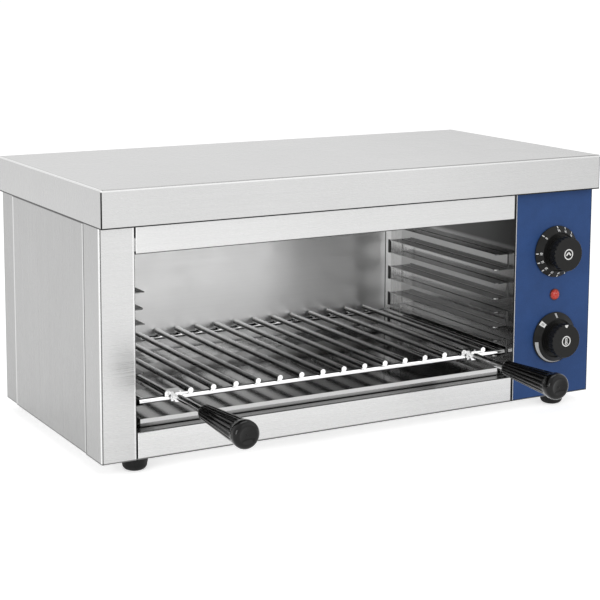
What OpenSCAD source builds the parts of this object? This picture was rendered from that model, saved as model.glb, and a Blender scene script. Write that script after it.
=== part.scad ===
// Cheese melter: a counter-top grill with four rack levels, a wire rack with two handles,
// a crumb tray, a clockwork timer, a thermostat and a signal lamp.
// Millimetres. +Z is up and the front faces -Y. The origin is on the counter, under the
// centre of the machine's outer box with its handles and cable gland.

/* [Body] */
// Width over the side panels
body_w = 607; // [590:1:680]
// Depth from the front face to the rear cover
body_d = 289.5; // [280:0.5:360]
// Height of the body below the lid
body_h = 238; // [232:1:300]
// Thickness of the sheet metal
sheet = 1; // [0.8:0.1:1.3]
// Outer radius of the folds
fold_r = 1.6; // [1.4:0.1:3]

/* [Lid] */
// Height of the lid's skirt
lid_h = 39; // [30:1:60]
// How far the lid reaches beyond the front face
lid_overhang = 10; // [4:1:30]
// Gap between the lid's skirt and the panels inside it
lid_fit = 0.5; // [0.3:0.1:0.8]
// Size of the open seam down the lid's vertical corners
corner_seam = 0.7; // [0.3:0.1:1.5]

/* [Front frame] */
// Width of the left post
post_w = 38; // [30:1:60]
// How far the front pieces wrap round the sides
front_wrap = 42; // [30:1:60]
// How far the post turns back into the opening
post_return = 12; // [6:1:14]
// Width of the control plate
control_w = 108; // [98:1:130]
// Height of the fascia above the opening
fascia_h = 29; // [20:1:32]
// Height of the rail below the opening
rail_h = 28.5; // [22:0.5:34]
// How far the rail's top edge turns back
rail_return = 12; // [5:1:12]
// Open seam between neighbouring front pieces
seam = 1; // [0.3:0.1:1.5]

/* [Control overlay] */
// Thickness of the coloured overlay
overlay_t = 0.5; // [0.4:0.1:1]
// Bare steel left showing at the overlay's inner edge
overlay_inset = 2; // [1:0.5:4]

/* [Side and rear covers] */
// How far one cover laps under the next
cover_lap = 12; // [8:1:20]
// How far the rear cover wraps round the sides
rear_wrap = 36; // [28:1:50]
// Width of the hidden stiffening flanges
flange_w = 12; // [8:1:18]
// Length of a vent slot
vent_l = 46; // [30:1:60]
// Height of a vent slot
vent_h = 3; // [2:0.5:3.5]
// Distance between vent slots
vent_pitch = 9; // [7:1:14]
// Vent slots in a column
vent_n = 8; // [4:1:10]

/* [Grill chamber] */
// How far the chamber's side liners stand outside the opening's edge
liner_setback = 2; // [1.5:0.5:4]
// Air gap between the chamber's back and the rear cover
rear_gap = 11.5; // [8:0.5:25]
// Height of the chamber back's lower edge above the body's underside
back_edge_z = 36; // [34:1:60]
// Drop of the reflector below the lid's lower edge
reflector_drop = 12; // [9:1:16]

/* [Rack guides] */
// Distance between rack levels
guide_pitch = 33; // [30:1:36]
// Clear height inside a guide channel
channel_h = 16.5; // [14:0.5:18]
// Height of the lowest guide's running face above the body's underside
guide_z = 51.5; // [48:0.5:56]
// Width of a guide's flange
guide_w = 18; // [16:1:24]
// Setback of the guides behind the front face
guide_front = 15; // [13:1:25]
// Gap between the guides' rear ends and the chamber's back
guide_rear_gap = 40; // [32:1:90]
// Radius of the flanges' front corners
guide_corner = 5; // [2:1:8]
// Depth of the guide post behind the guides
guide_post_d = 25; // [15:1:30]
// Depth of the guide post's folded edge
guide_post_fold = 5; // [3:0.5:8]

/* [Rack] */
// Diameter of the rack's rods
rod_d = 6; // [5:0.5:7]
// Distance between the rack's bars
rod_pitch = 26; // [22:1:34]
// How deep crossing rods are welded into each other
weld_sink = 0.4; // [0.2:0.1:0.8]
// Play of the rack between the guides, each side
rack_play = 6; // [5:0.5:8]
// How far the cross rods reach beyond the side rods
cross_end = 4.5; // [3.5:0.5:6]
// Setback of the bars' front ends behind the front face
bar_front = 14; // [13:0.5:30]
// Gap between the bars' rear ends and the chamber's back
bar_rear_gap = 2.5; // [1:0.5:8]
// Reach of a bar beyond the front cross rod's centre
bar_nose = 3.5; // [3.5:0.1:6]
// Reach of a bar beyond the rear cross rod's centre
bar_tail = 8; // [4:0.5:14]
// How far the rack and the tray rest towards the right in their guides
rest_shift = 4.5; // [0:0.5:5]

/* [Rack handles] */
// Reach of the handles beyond the front face
handle_reach = 148; // [130:1:180]
// Height of the handles' axis over the cross rods' axis
handle_lift = 2.5; // [0:0.5:4]
// Sideways offset of the handles from the middle between two bars
handle_offset = 4.5; // [0:0.5:5]
// Diameter of a handle's stem
stem_d = 7; // [6:0.5:8]
// Length of a grip
grip_l = 92; // [70:1:110]
// Diameter of a grip at the stem
grip_d1 = 16.5; // [14:0.5:20]
// Diameter of a grip at its end
grip_d2 = 28; // [24:0.5:32]
// Number of flutes round a grip
flute_n = 16; // [8:1:16]
// Diameter of a flute
flute_d = 2.5; // [2:0.1:4]
// Length of the smooth collar at a grip's end
collar_l = 12; // [8:1:16]
// Thickness of a handle bracket
bracket_t = 2; // [1.5:0.5:3]
// Depth of a handle bracket's plate
bracket_d = 18; // [12:1:24]
// Width of a handle bracket's tab
bracket_tab_w = 11; // [10:1:16]
// Reach of the bracket's tab above and below the stem's axis
bracket_reach = 5; // [4.5:0.5:9]
// Size of the stem's nut across its flats
nut_af = 10; // [9:0.5:13]
// Thickness of the stem's nut
nut_t = 5; // [4:0.5:6]

/* [Crumb tray] */
// Height of the tray's rim
tray_h = 8; // [6:0.5:10]
// Play of the tray between the liners, each side
tray_play = 7.5; // [6:0.5:10]
// Setback of the tray behind the front face
tray_front = 14.5; // [13:0.5:20]
// Gap between the tray and the chamber's back
tray_rear_gap = 5; // [3:0.5:10]
// Height of the tray's underside over the rail's top
tray_lift = 0.5; // [0.3:0.1:1.5]
// Width of the tray runners
runner_w = 22; // [20:1:28]

/* [Controls] */
// Height of the signal lamp above the body's underside
lamp_z = 118.5; // [110:0.5:125]
// Distance of the controls from the body's right edge
control_edge = 51.5; // [46:0.5:56]
// Distance from the lamp to each knob
knob_spacing = 50; // [44:1:56]
// Diameter of a knob's skirt
skirt_d = 59; // [50:1:64]
// Height of a knob's conical skirt
skirt_h = 7; // [5:0.5:9]
// Diameter at the top of the skirt's cone
skirt_top_d = 45; // [42.5:0.5:48]
// Diameter of a knob's finger grip
cap_d = 39; // [34:1:42]
// Height of a knob above the overlay
knob_h = 24; // [18:0.5:30]
// Number of scallops round a knob
scallop_n = 24; // [12:1:30]
// Diameter of a scallop
scallop_d = 3.6; // [3:0.1:6]
// Diameter of the control shafts
shaft_d = 6; // [5:0.5:6]
// Gap between a knob and the overlay
knob_gap = 0.6; // [0.4:0.1:1]
// Diameter of the lamp's lens
lens_d = 13.6; // [11:0.1:16]
// Height of the lamp's lens
lens_h = 5; // [3:0.5:8]
// Diameter of the lamp's body
lamp_body_d = 10; // [8:0.5:10.5]

/* [Heating elements] */
// Diameter of the tubular elements
element_d = 8; // [6.5:0.5:8.5]
// Distance between the two legs of an element
element_leg_gap = 40; // [34:1:50]
// Setback of the front element's first leg behind the front face
element_front = 62; // [50:1:80]
// Distance between the two elements
element_pitch = 100; // [90:1:105]
// Drop of the elements' axis below the reflector
element_drop = 11; // [9:0.5:13]
// How far the elements reach into the control bay
element_tail = 22; // [18:1:28]

/* [Feet] */
// Height of the feet
foot_h = 13; // [10:1:25]
// Diameter of a foot at its top
foot_d = 28; // [22:1:34]
// Distance of a foot's centre from the body's front and rear faces
foot_edge = 14; // [12.5:0.5:40]
// Sideways distance of a foot's centre from the body's edge
foot_side = 41; // [30:1:60]
// Diameter of the foot screws
foot_screw_d = 4; // [4:0.5:5]

/* [Cable gland] */
// Inner diameter of the cable gland
gland_bore = 9; // [7:0.5:10]
// Diameter of the gland's thread
gland_thread_d = 16; // [14:0.5:18]
// Reach of the gland behind the rear cover
gland_out = 18; // [14:1:24]
// Height of the gland above the body's underside
gland_z = 46; // [40:1:60]

/* [Hidden] */

$fn = 48;
STEEL = [0.80, 0.80, 0.79];
BRIGHT = [0.88, 0.88, 0.88];
DARK_STEEL = [0.45, 0.45, 0.45];
BLUE = [0.20, 0.30, 0.50];
BLACK = [0.07, 0.07, 0.07];
RED = [0.75, 0.10, 0.08];
CERAMIC = [0.88, 0.86, 0.80];
COPPER = [0.72, 0.45, 0.30];

// Running clearance of a round part in its bore, on the radius
run_fit = 0.05;
// Clearance under what slides
slide_gap = 0.3;
// Number of rack levels
guide_n = 4;
// Hair gap between pieces that are welded or clamped side by side
hair = 0.1;
// Overshoot of a cutting tool past the face it cuts
cut = 1;

// Heights
base_z = foot_h;
lid_z = base_z + body_h;
panel_top = lid_z + lid_h - sheet;

// Planes across the depth
back_reach = body_d + gland_out;
front_y = (handle_reach - back_reach) / 2;
rear_y = front_y + body_d;
chamber_back_y = rear_y - sheet - rear_gap - sheet;
reflector_z = base_z + body_h - reflector_drop;
lid_front_y = front_y - lid_overhang;
lid_rear_y = rear_y + lid_fit + sheet;

// Planes across the width
half_w = body_w / 2;
lid_half_w = half_w + lid_fit + sheet;
panel_x = half_w - sheet;
flange_x = panel_x - sheet;
open_left = -half_w + post_w;
open_right = half_w - control_w;
chamber_x = (open_left + open_right) / 2;
liner_half = (open_right - open_left) / 2 + liner_setback;
control_x = half_w - control_edge;

// Guides
guide_half = liner_half - sheet;
guide_h = channel_h + 2 * sheet;
lip_half = guide_half - guide_w + sheet;
guide_y = front_y + guide_front;
guide_end_y = chamber_back_y - guide_rear_gap;

// Rack
rack_x = chamber_x + rest_shift;
cross_half = guide_half - rack_play;
side_rod_half = cross_half - cross_end;
rack_z = base_z + guide_z + slide_gap + rod_d / 2;
bar_z = rack_z + rod_d - weld_sink;
bar_y0 = front_y + bar_front;
bar_y1 = chamber_back_y - bar_rear_gap;
cross_front_y = bar_y0 + bar_nose;
cross_rear_y = bar_y1 - bar_tail;
bar_n = round(2 * side_rod_half / rod_pitch) - 1;
function bar_x(i) = rack_x + (i - (bar_n - 1) / 2) * rod_pitch;
handle_left_x = (bar_x(0) + bar_x(1)) / 2;
handle_right_x = (bar_x(bar_n - 2) + bar_x(bar_n - 1)) / 2;
handle_z = rack_z + handle_lift;
bracket_y = bar_y0 - hair;
grip_y0 = front_y - handle_reach;

// Tray
tray_z = base_z + rail_h + tray_lift;
tray_half = liner_half - tray_play;
tray_x = chamber_x + rest_shift;
tray_y0 = front_y + tray_front;
tray_y1 = chamber_back_y - tray_rear_gap;
runner_top = tray_z - slide_gap;
tray_clear = 3;

// Controls
overlay_y = front_y - overlay_t;
knob_y = overlay_y - knob_gap;
timer_z = base_z + lamp_z + knob_spacing;
thermostat_z = base_z + lamp_z - knob_spacing;
bush_d = shaft_d + 4;
bush_hole_d = bush_d + 1;
lamp_hole_d = lamp_body_d + 0.6;
control_body_y = front_y + sheet;
shaft_seat = 20;
timer_size = [44, 38, 46];
thermostat_size = [40, 32, 40];
control_neck = 12;
lamp_body_l = 28;

// Knob profile
knob_face = 6;
knob_edge = 0.5;
skirt_rim = 1.5;
skirt_lip = 0.6;
skirt_recess = 1.5;
neck_inset = 3;
neck_h = 2;
cap_band = 7;
cap_bevel = 0.8;
scallop_bite = 0.8;

// Grip profile
grip_nose = 1;
collar_step = 1;
collar_rise = 2;
grip_rim = 5;
grip_dish = 2;
dish_steps = 5;
flute_end = 3;
flute_sink = 0.22;

// Foot profile
sole_round = 6;
sole_inset = 1.2;
sole_ring = 1.5;
foot_brim = 1;
foot_head_gap = 1;

// Elements
element_mid_z = reflector_z - element_drop;
element_bend = element_leg_gap / 2;
element_edge = 34;
element_left_x = chamber_x - guide_half + element_edge + element_bend;
element_right_x = chamber_x + liner_half + element_tail;
element_hole_d = element_d + 0.8;
clip_t = 1.5;
clip_edge = 8;
clip_left = 30;
clip_right = 60;
clip_x = [element_left_x + clip_left, chamber_x + guide_half - clip_right];
bush_l = 7;
pin_l = 12;

// Fasteners
foot_head_d = 8.5;
foot_head_h = 3;
foot_thread = 5;
screw_d = 4;
screw_head_d = 7.5;
screw_head_h = 2.4;
screw_l = 8;
screw_play = 0.4;
screw_hole_d = screw_d + screw_play;
rear_screw_edge = 60;
lid_screw_edge = 40;
rear_screw_x = [-half_w + rear_screw_edge, 0, half_w - rear_screw_edge];
lid_screw_x = [-half_w + lid_screw_edge, 0, half_w - lid_screw_edge];
rear_screw_z = base_z + sheet + flange_w / 2;
lid_screw_z = lid_z + lid_h / 2;
vent_edge = 80;
vent_x = [-half_w + vent_edge, 0, half_w - vent_edge];
gland_edge = 60;
gland_x = half_w - gland_edge;
terminal_size = [54, 24, 20];
terminal_rear = 70;

// A block between two opposite corners.
module slab(lo, hi) {
    translate(lo) cube(hi - lo);
}

// An outline in (y, z) drawn out along X.
module along_x(x0, x1) {
    translate([x0, 0, 0]) rotate([90, 0, 90]) linear_extrude(x1 - x0) children();
}

// An outline in (x, z) drawn out along Y.
module along_y(y0, y1) {
    translate([0, y1, 0]) rotate([90, 0, 0]) linear_extrude(y1 - y0) children();
}

// An outline in (x, y) drawn out along Z.
module along_z(z0, z1) {
    translate([0, 0, z0]) linear_extrude(z1 - z0) children();
}

// A shape whose own Z axis points to the front.
module facing_front(x, y, z) {
    translate([x, y, z]) rotate([90, 0, 0]) children();
}

// A shape whose own Z axis points to the back.
module facing_back(x, y, z) {
    translate([x, y, z]) rotate([-90, 0, 0]) children();
}

// A round bar along X, Y or Z from a start point.
module bar_along_x(p, length, d) {
    translate(p) rotate([0, 90, 0]) cylinder(d = d, h = length);
}
module bar_along_y(p, length, d) {
    translate(p) rotate([-90, 0, 0]) cylinder(d = d, h = length);
}

// A folded angle: one leg along +x, one along +y, its outer corner at the origin.
module angle_2d(a, b) {
    difference() {
        union() {
            translate([fold_r, 0]) square([a - fold_r, sheet]);
            translate([0, fold_r]) square([sheet, b - fold_r]);
            intersection() {
                translate([fold_r, fold_r]) circle(fold_r);
                square(fold_r);
            }
        }
        translate([fold_r, fold_r]) circle(fold_r - sheet);
    }
}

// A folded channel along +x of width w, its legs b0 and b1 along +y.
module channel_2d(w, b0, b1) {
    angle_2d(w / 2, b0);
    translate([w, 0]) mirror([1, 0]) angle_2d(w / 2, b1);
}

// A rectangle of width w and height h whose top corners are rounded.
module arched_2d(w, h, r) {
    square([w, h - r]);
    translate([r, 0]) square([w - 2 * r, h]);
    for (x = [r, w - r]) translate([x, h - r]) circle(r);
}

// A block with rounded top edges, from corner lo with size s.
module lid_block(lo, s, r) {
    intersection() {
        translate(lo) along_y(0, s[1]) arched_2d(s[0], s[2], r);
        translate(lo) along_x(0, s[0]) arched_2d(s[1], s[2], r);
    }
}

// ---- Housing ----

module lid() {
    w = 2 * lid_half_w;
    d = lid_rear_y - lid_front_y;
    color(STEEL) difference() {
        lid_block([-lid_half_w, lid_front_y, lid_z], [w, d, lid_h], fold_r);
        translate([0, 0, -cut]) lid_block(
            [-lid_half_w + sheet, lid_front_y + sheet, lid_z],
            [w - 2 * sheet, d - 2 * sheet, lid_h - sheet + cut],
            fold_r - sheet);
        for (x = lid_screw_x)
            facing_back(x, lid_rear_y - sheet - cut, lid_screw_z)
                cylinder(d = screw_hole_d, h = sheet + 2 * cut);
        for (x = [-lid_half_w, lid_half_w - corner_seam],
             y = [lid_front_y, lid_rear_y - corner_seam])
            slab([x, y, lid_z - cut],
                 [x + corner_seam, y + corner_seam, lid_z + lid_h - 2 * fold_r]);
    }
}

module front_post() {
    color(STEEL) along_z(base_z, panel_top)
        translate([-half_w, front_y]) channel_2d(post_w, front_wrap, post_return);
}

module fascia() {
    bottom = lid_z - fascia_h;
    x0 = open_left + seam;
    x1 = open_right - seam;
    color(STEEL) along_x(x0, x1) translate([front_y, bottom]) {
        mirror([1, -1]) channel_2d(panel_top - bottom, flange_w, flange_w);
    }
}

module bottom_rail() {
    x0 = open_left + seam;
    x1 = open_right - seam;
    color(STEEL) along_x(x0, x1) translate([front_y, base_z + rail_h])
        rotate(-90) angle_2d(rail_h, rail_return);
}

module control_holes(through) {
    for (z = [timer_z, thermostat_z])
        facing_back(control_x, front_y - through, z) cylinder(d = bush_hole_d, h = 2 * through);
    facing_back(control_x, front_y - through, base_z + lamp_z)
        cylinder(d = lamp_hole_d, h = 2 * through);
}

module control_plate() {
    color(STEEL) difference() {
        along_z(base_z, panel_top)
            translate([half_w, front_y]) mirror([1, 0]) angle_2d(control_w, front_wrap);
        control_holes(2 * sheet);
    }
}

module control_overlay() {
    color(BLUE) difference() {
        slab([open_right + overlay_inset, overlay_y, base_z + seam],
             [half_w - fold_r, front_y, lid_z - seam]);
        control_holes(2 * sheet);
    }
}

module side_panel(side) {
    y0 = front_y + front_wrap - cover_lap;
    y1 = rear_y - rear_wrap;
    color(STEEL) mirror([side < 0 ? 0 : 1, 0, 0]) {
        slab([-panel_x, y0, base_z], [-flange_x, y1, panel_top]);
        slab([-flange_x, y0, panel_top - sheet],
             [-flange_x + flange_w, y1 - cover_lap - sheet, panel_top]);
    }
}

module vents(x) {
    for (i = [0 : vent_n - 1])
        slab([x - vent_l / 2, rear_y - 2 * sheet, base_z + body_h / 2 + i * vent_pitch],
             [x + vent_l / 2, rear_y + sheet, base_z + body_h / 2 + i * vent_pitch + vent_h]);
}

module rear_cover() {
    wrap = rear_wrap + cover_lap;
    color(STEEL) difference() {
        union() {
            along_z(base_z, panel_top) translate([-flange_x, rear_y]) mirror([0, 1])
                channel_2d(2 * flange_x, wrap, wrap);
            slab([-flange_x + fold_r + sheet, rear_y - sheet - flange_w, panel_top - sheet],
                 [flange_x - fold_r - sheet, rear_y - sheet, panel_top]);
        }
        for (x = vent_x) vents(x);
        for (x = rear_screw_x)
            facing_back(x, rear_y - sheet - cut, rear_screw_z)
                cylinder(d = screw_hole_d, h = sheet + 2 * cut);
        for (x = lid_screw_x)
            facing_back(x, rear_y - sheet - cut, lid_screw_z)
                cylinder(d = screw_hole_d, h = sheet + 2 * cut);
        facing_back(gland_x, rear_y - sheet - cut, base_z + gland_z)
            cylinder(d = gland_thread_d + 2 * run_fit, h = sheet + 2 * cut);
    }
}

function foot_x(side) = side * (half_w - foot_side);
function foot_y(end) = end < 0 ? front_y + foot_edge : rear_y - foot_edge;

module base_plate() {
    inner_x = flange_x - sheet;
    inner_y = rear_y - sheet;
    color(STEEL) difference() {
        union() {
            slab([-inner_x, front_y + sheet, base_z], [inner_x, inner_y, base_z + sheet]);
            slab([-inner_x + fold_r, inner_y - sheet, base_z],
                 [inner_x - fold_r, inner_y, base_z + sheet + flange_w]);
        }
        slab([open_left - sheet - hair, front_y, base_z - cut],
             [open_left + hair, front_y + post_return + hair, base_z + sheet + cut]);
        for (side = [-1, 1], end = [-1, 1])
            translate([foot_x(side), foot_y(end), base_z - cut])
                cylinder(d = foot_screw_d + screw_play, h = sheet + 2 * cut);
        for (x = rear_screw_x)
            facing_back(x, inner_y - sheet - cut, rear_screw_z)
                cylinder(d = screw_d + 2 * run_fit, h = sheet + 2 * cut);
    }
}

// ---- Grill chamber ----

module liner(side) {
    x = chamber_x + side * liner_half;
    color(STEEL) difference() {
        slab([min(x, x + side * sheet), front_y + sheet, base_z + sheet],
             [max(x, x + side * sheet), chamber_back_y, reflector_z]);
        if (side > 0)
            for (y = element_leg_y())
                bar_along_x([x - cut, y, element_mid_z], sheet + 2 * cut, element_hole_d);
    }
}

module chamber_back() {
    half = liner_half + sheet;
    color(STEEL)
        slab([chamber_x - half, chamber_back_y, base_z + back_edge_z],
             [chamber_x + half, chamber_back_y + sheet, reflector_z]);
}

module reflector() {
    half = liner_half + sheet;
    color(STEEL)
        slab([chamber_x - half, front_y + post_return + seam, reflector_z],
             [chamber_x + half, chamber_back_y + sheet, reflector_z + sheet]);
}

// Running face of guide i, where guide 1 is the highest.
function guide_face(i) = base_z + guide_z + (guide_n - i) * guide_pitch;

module guide(side, i) {
    z0 = guide_face(i) - sheet;
    color(STEEL) translate([chamber_x, 0, 0]) mirror([side < 0 ? 0 : 1, 0, 0]) difference() {
        along_y(guide_y, guide_end_y) translate([-guide_half - sheet, z0])
            mirror([1, -1]) channel_2d(guide_h, guide_w, guide_w);
        translate([-lip_half, guide_y, z0 - cut]) difference() {
            translate([-guide_corner, -cut, 0])
                cube([guide_corner + cut, guide_corner + cut, guide_h / 2]);
            translate([-guide_corner, guide_corner, -cut])
                cylinder(r = guide_corner, h = guide_h);
        }
    }
}

module guide_post(side) {
    y0 = guide_end_y;
    z0 = tray_z + tray_h + tray_clear;
    z1 = reflector_z;
    color(STEEL) translate([chamber_x, 0, 0]) mirror([side < 0 ? 0 : 1, 0, 0]) difference() {
        along_z(z0, z1) union() {
            translate([-guide_half - sheet, y0]) angle_2d(guide_w, guide_post_d);
            translate([-lip_half, y0]) mirror([1, 0]) angle_2d(guide_w / 2, guide_post_fold);
        }
        for (i = [1 : guide_n])
            slab([-guide_half, y0 - cut, guide_face(i)],
                 [-lip_half + cut, y0 + guide_post_fold + cut, guide_face(i) + channel_h]);
    }
}

// ---- Heating elements ----

function element_leg_y() = [
    for (e = [0, 1], leg = [0, 1])
        front_y + element_front + e * element_pitch + leg * element_leg_gap
];

module element(y) {
    color(DARK_STEEL) {
        for (leg = [0, 1])
            bar_along_x([element_left_x, y + leg * element_leg_gap, element_mid_z],
                        element_right_x - element_left_x, element_d);
        translate([element_left_x, y + element_bend, element_mid_z]) rotate(90)
            rotate_extrude(angle = 180) translate([element_bend, 0]) circle(d = element_d);
    }
}

module element_clips() {
    z0 = element_mid_z - element_d / 2 - 1.5;
    color(STEEL) for (x = clip_x, e = [0, 1]) {
        y = front_y + element_front + e * element_pitch;
        difference() {
            slab([x, y - clip_edge, z0],
                 [x + clip_t, y + element_leg_gap + clip_edge, reflector_z]);
            for (leg = [0, 1])
                bar_along_x([x - cut, y + leg * element_leg_gap, element_mid_z],
                            clip_t + 2 * cut, element_d + 2 * run_fit);
        }
    }
}

module element_bushes() {
    x = chamber_x + liner_half + sheet;
    color(CERAMIC) for (y = element_leg_y()) difference() {
        bar_along_x([x, y, element_mid_z], bush_l, element_d + 6);
        bar_along_x([x - cut, y, element_mid_z], bush_l + 2 * cut, element_d + 2 * run_fit);
    }
}

module element_pins() {
    color(BRIGHT) for (y = element_leg_y())
        bar_along_x([element_right_x, y, element_mid_z], pin_l, element_d / 2);
}

// ---- Rack and handles ----

module wire_rack() {
    color(BRIGHT) {
        for (y = [cross_front_y, cross_rear_y])
            bar_along_x([rack_x - cross_half, y, rack_z], 2 * cross_half, rod_d);
        for (side = [-1, 1])
            bar_along_y([rack_x + side * side_rod_half, cross_front_y, rack_z],
                        cross_rear_y - cross_front_y, rod_d);
        for (i = [0 : bar_n - 1])
            bar_along_y([bar_x(i), bar_y0, bar_z], bar_y1 - bar_y0, rod_d);
    }
}

module handle_bracket(x) {
    half = (rod_pitch - rod_d) / 2 - hair;
    plate_z = rack_z + rod_d / 2 + hair;
    tab_x = x - handle_offset;
    color(BRIGHT) {
        slab([x - half, bracket_y, plate_z],
             [x + half, bracket_y + bracket_d, plate_z + bracket_t]);
        difference() {
            slab([tab_x - bracket_tab_w / 2, bracket_y - bracket_t, handle_z - bracket_reach],
                 [tab_x + bracket_tab_w / 2, bracket_y, handle_z + bracket_reach]);
            bar_along_y([tab_x, bracket_y - bracket_t - cut, handle_z], bracket_t + 2 * cut,
                        stem_d + 2 * run_fit);
        }
    }
}

module handle_stem(x) {
    y0 = grip_y0 + collar_l;
    color(BRIGHT) bar_along_y([x - handle_offset, y0, handle_z], bracket_y - y0, stem_d);
}

module handle_nut(x) {
    color(BRIGHT) facing_front(x - handle_offset, bracket_y - bracket_t, handle_z) difference() {
        cylinder(d = nut_af / cos(30), h = nut_t, $fn = 6);
        translate([0, 0, -cut]) cylinder(d = stem_d + 2 * run_fit, h = nut_t + 2 * cut);
    }
}

// The grip's outline, radius against distance from the stem end: a cone, a plain collar,
// a rounded rim and a dished end.
module grip_outline() {
    r1 = grip_d1 / 2;
    r2 = grip_d2 / 2;
    collar_z = grip_l - collar_l;
    face_r = r2 - grip_rim;
    polygon(concat(
        [[0, 0], [r1 - grip_nose, 0], [r1, grip_nose]],
        [[r2 - collar_step, collar_z], [r2, collar_z + collar_rise]],
        [for (a = [0 : 15 : 90])
            [face_r + grip_rim * cos(a), grip_l - grip_rim + grip_rim * sin(a)]],
        [for (i = [dish_steps - 1 : -1 : 0]) let (k = i / dish_steps)
            [face_r * k, grip_l - grip_dish * (1 - k * k)]]
    ));
}

module handle_grip(x) {
    taper = atan((grip_d2 - grip_d1) / 2 / grip_l);
    color(BLACK) facing_front(x - handle_offset, grip_y0 + grip_l, handle_z) difference() {
        rotate_extrude() grip_outline();
        for (i = [0 : flute_n - 1]) rotate(i * 360 / flute_n)
            translate([grip_d1 / 2 + flute_d * flute_sink, 0, -cut]) rotate([0, taper, 0])
                cylinder(d = flute_d, h = grip_l - collar_l - flute_end + cut);
        translate([0, 0, -cut])
            cylinder(d = stem_d + 2 * run_fit, h = grip_l - collar_l + cut);
    }
}

// ---- Crumb tray ----

module crumb_tray() {
    color(STEEL) difference() {
        slab([tray_x - tray_half, tray_y0, tray_z],
             [tray_x + tray_half, tray_y1, tray_z + tray_h]);
        slab([tray_x - tray_half + sheet, tray_y0 + sheet, tray_z + sheet],
             [tray_x + tray_half - sheet, tray_y1 - sheet, tray_z + tray_h + cut]);
    }
}

module tray_runner(side) {
    color(STEEL) translate([chamber_x, 0, 0]) mirror([side < 0 ? 0 : 1, 0, 0])
        along_y(tray_y0, tray_y1) translate([-liner_half, runner_top]) mirror([0, 1])
            angle_2d(runner_w, runner_top - base_z - sheet);
}

// ---- Controls ----

module control_body(z, size) {
    color(BLACK) difference() {
        union() {
            slab([control_x - size[0] / 2, control_body_y, z - size[2] / 2],
                 [control_x + size[0] / 2, control_body_y + size[1], z + size[2] / 2]);
            bar_along_y([control_x, overlay_y, z], control_neck, bush_d);
        }
        bar_along_y([control_x, overlay_y - cut, z], shaft_seat + cut, shaft_d + 2 * run_fit);
    }
}

module control_shaft(z) {
    y0 = knob_y - knob_h + knob_gap + knob_face;
    color(BRIGHT) bar_along_y([control_x, y0, z], overlay_y + shaft_seat - slide_gap - y0, shaft_d);
}

// A knob's outline, radius against height: a conical skirt, a neck and a wider cap.
module knob_outline(h) {
    r = skirt_d / 2;
    s = skirt_top_d / 2;
    c = cap_d / 2;
    recess_z = skirt_h - skirt_recess;
    polygon([
        [0, 0], [r - knob_edge, 0], [r, knob_edge], [r, skirt_rim],
        [s, skirt_h], [s - skirt_lip, skirt_h],
        [s - 2 * skirt_lip, recess_z], [c - neck_inset, recess_z],
        [c - neck_inset + knob_edge, skirt_h + neck_h],
        [c, h - cap_band], [c, h - cap_bevel], [c - cap_bevel, h], [0, h]
    ]);
}

module knob(z) {
    c = cap_d / 2;
    h = knob_h - knob_gap;
    bore_h = h - knob_face;
    color(BLACK) facing_front(control_x, knob_y, z) difference() {
        rotate_extrude() knob_outline(h);
        for (i = [0 : scallop_n - 1]) rotate((i + 0.5) * 360 / scallop_n)
            translate([c + scallop_d / 2 - scallop_bite, 0, skirt_h + neck_h / 2])
                cylinder(d = scallop_d, h = h);
        translate([0, 0, -cut]) cylinder(d = shaft_d + 2 * run_fit, h = bore_h + cut + slide_gap);
    }
}

module thermostat_bulb() {
    d = 2.4;
    bulb_d = 6;
    bulb_l = 80;
    bulb_edge = 60;
    setback = 22;
    side_gap = 6;
    bulb_z = reflector_z + sheet + bulb_d / 2;
    y = control_body_y + setback;
    side_x = control_x - thermostat_size[0] / 2;
    x = side_x - side_gap;
    bulb_x = chamber_x + liner_half - bulb_edge;
    color(COPPER) {
        bar_along_x([x, y, thermostat_z], side_x - x, d);
        translate([x, y, thermostat_z]) sphere(d = d);
        translate([x, y, thermostat_z]) cylinder(d = d, h = bulb_z - thermostat_z);
        translate([x, y, bulb_z]) sphere(d = d);
        bar_along_x([bulb_x, y, bulb_z], x - bulb_x, d);
        bar_along_x([bulb_x - bulb_l, y, bulb_z], bulb_l, bulb_d);
    }
}

module lamp_lens() {
    y = overlay_y;
    color(RED) facing_front(control_x, y, base_z + lamp_z) {
        cylinder(d = lens_d, h = lens_h * 0.4);
        translate([0, 0, lens_h * 0.4])
            cylinder(d1 = lens_d - 0.6, d2 = lens_d * 0.45, h = lens_h * 0.6, $fn = 8);
    }
}

module lamp_body() {
    color(BLACK) bar_along_y([control_x, overlay_y, base_z + lamp_z], lamp_body_l, lamp_body_d);
}

module terminal_block() {
    size = terminal_size;
    poles = 3;
    pole_d = 5;
    x = control_x;
    y = rear_y - terminal_rear;
    z = base_z + sheet;
    color(CERAMIC) difference() {
        slab([x - size[0] / 2, y, z], [x + size[0] / 2, y + size[1], z + size[2]]);
        for (i = [0 : poles - 1])
            bar_along_y([x + (i - (poles - 1) / 2) * size[0] / poles, y - cut, z + size[2] / 2],
                        size[1] + 2 * cut, pole_d);
    }
}

module cable_gland() {
    flat_d = (gland_thread_d + 6) / cos(30);
    inside = 8;
    dome_r = gland_thread_d / 2 + 2;
    nose_r = gland_bore / 2 + 2;
    nut_h = 5;
    color(BLACK) facing_back(gland_x, rear_y, base_z + gland_z) difference() {
        union() {
            cylinder(d = flat_d, h = 6, $fn = 6);
            translate([0, 0, 6]) rotate_extrude() polygon([
                [0, 0], [dome_r, 0], [dome_r, gland_out - 11],
                [nose_r, gland_out - 6], [0, gland_out - 6]
            ]);
            translate([0, 0, -sheet - inside]) cylinder(d = gland_thread_d, h = inside + sheet);
            translate([0, 0, -sheet - nut_h]) cylinder(d = flat_d, h = nut_h, $fn = 6);
        }
        translate([0, 0, -sheet - inside - cut])
            cylinder(d = gland_bore, h = gland_out + inside + sheet + 2 * cut);
    }
}

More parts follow.
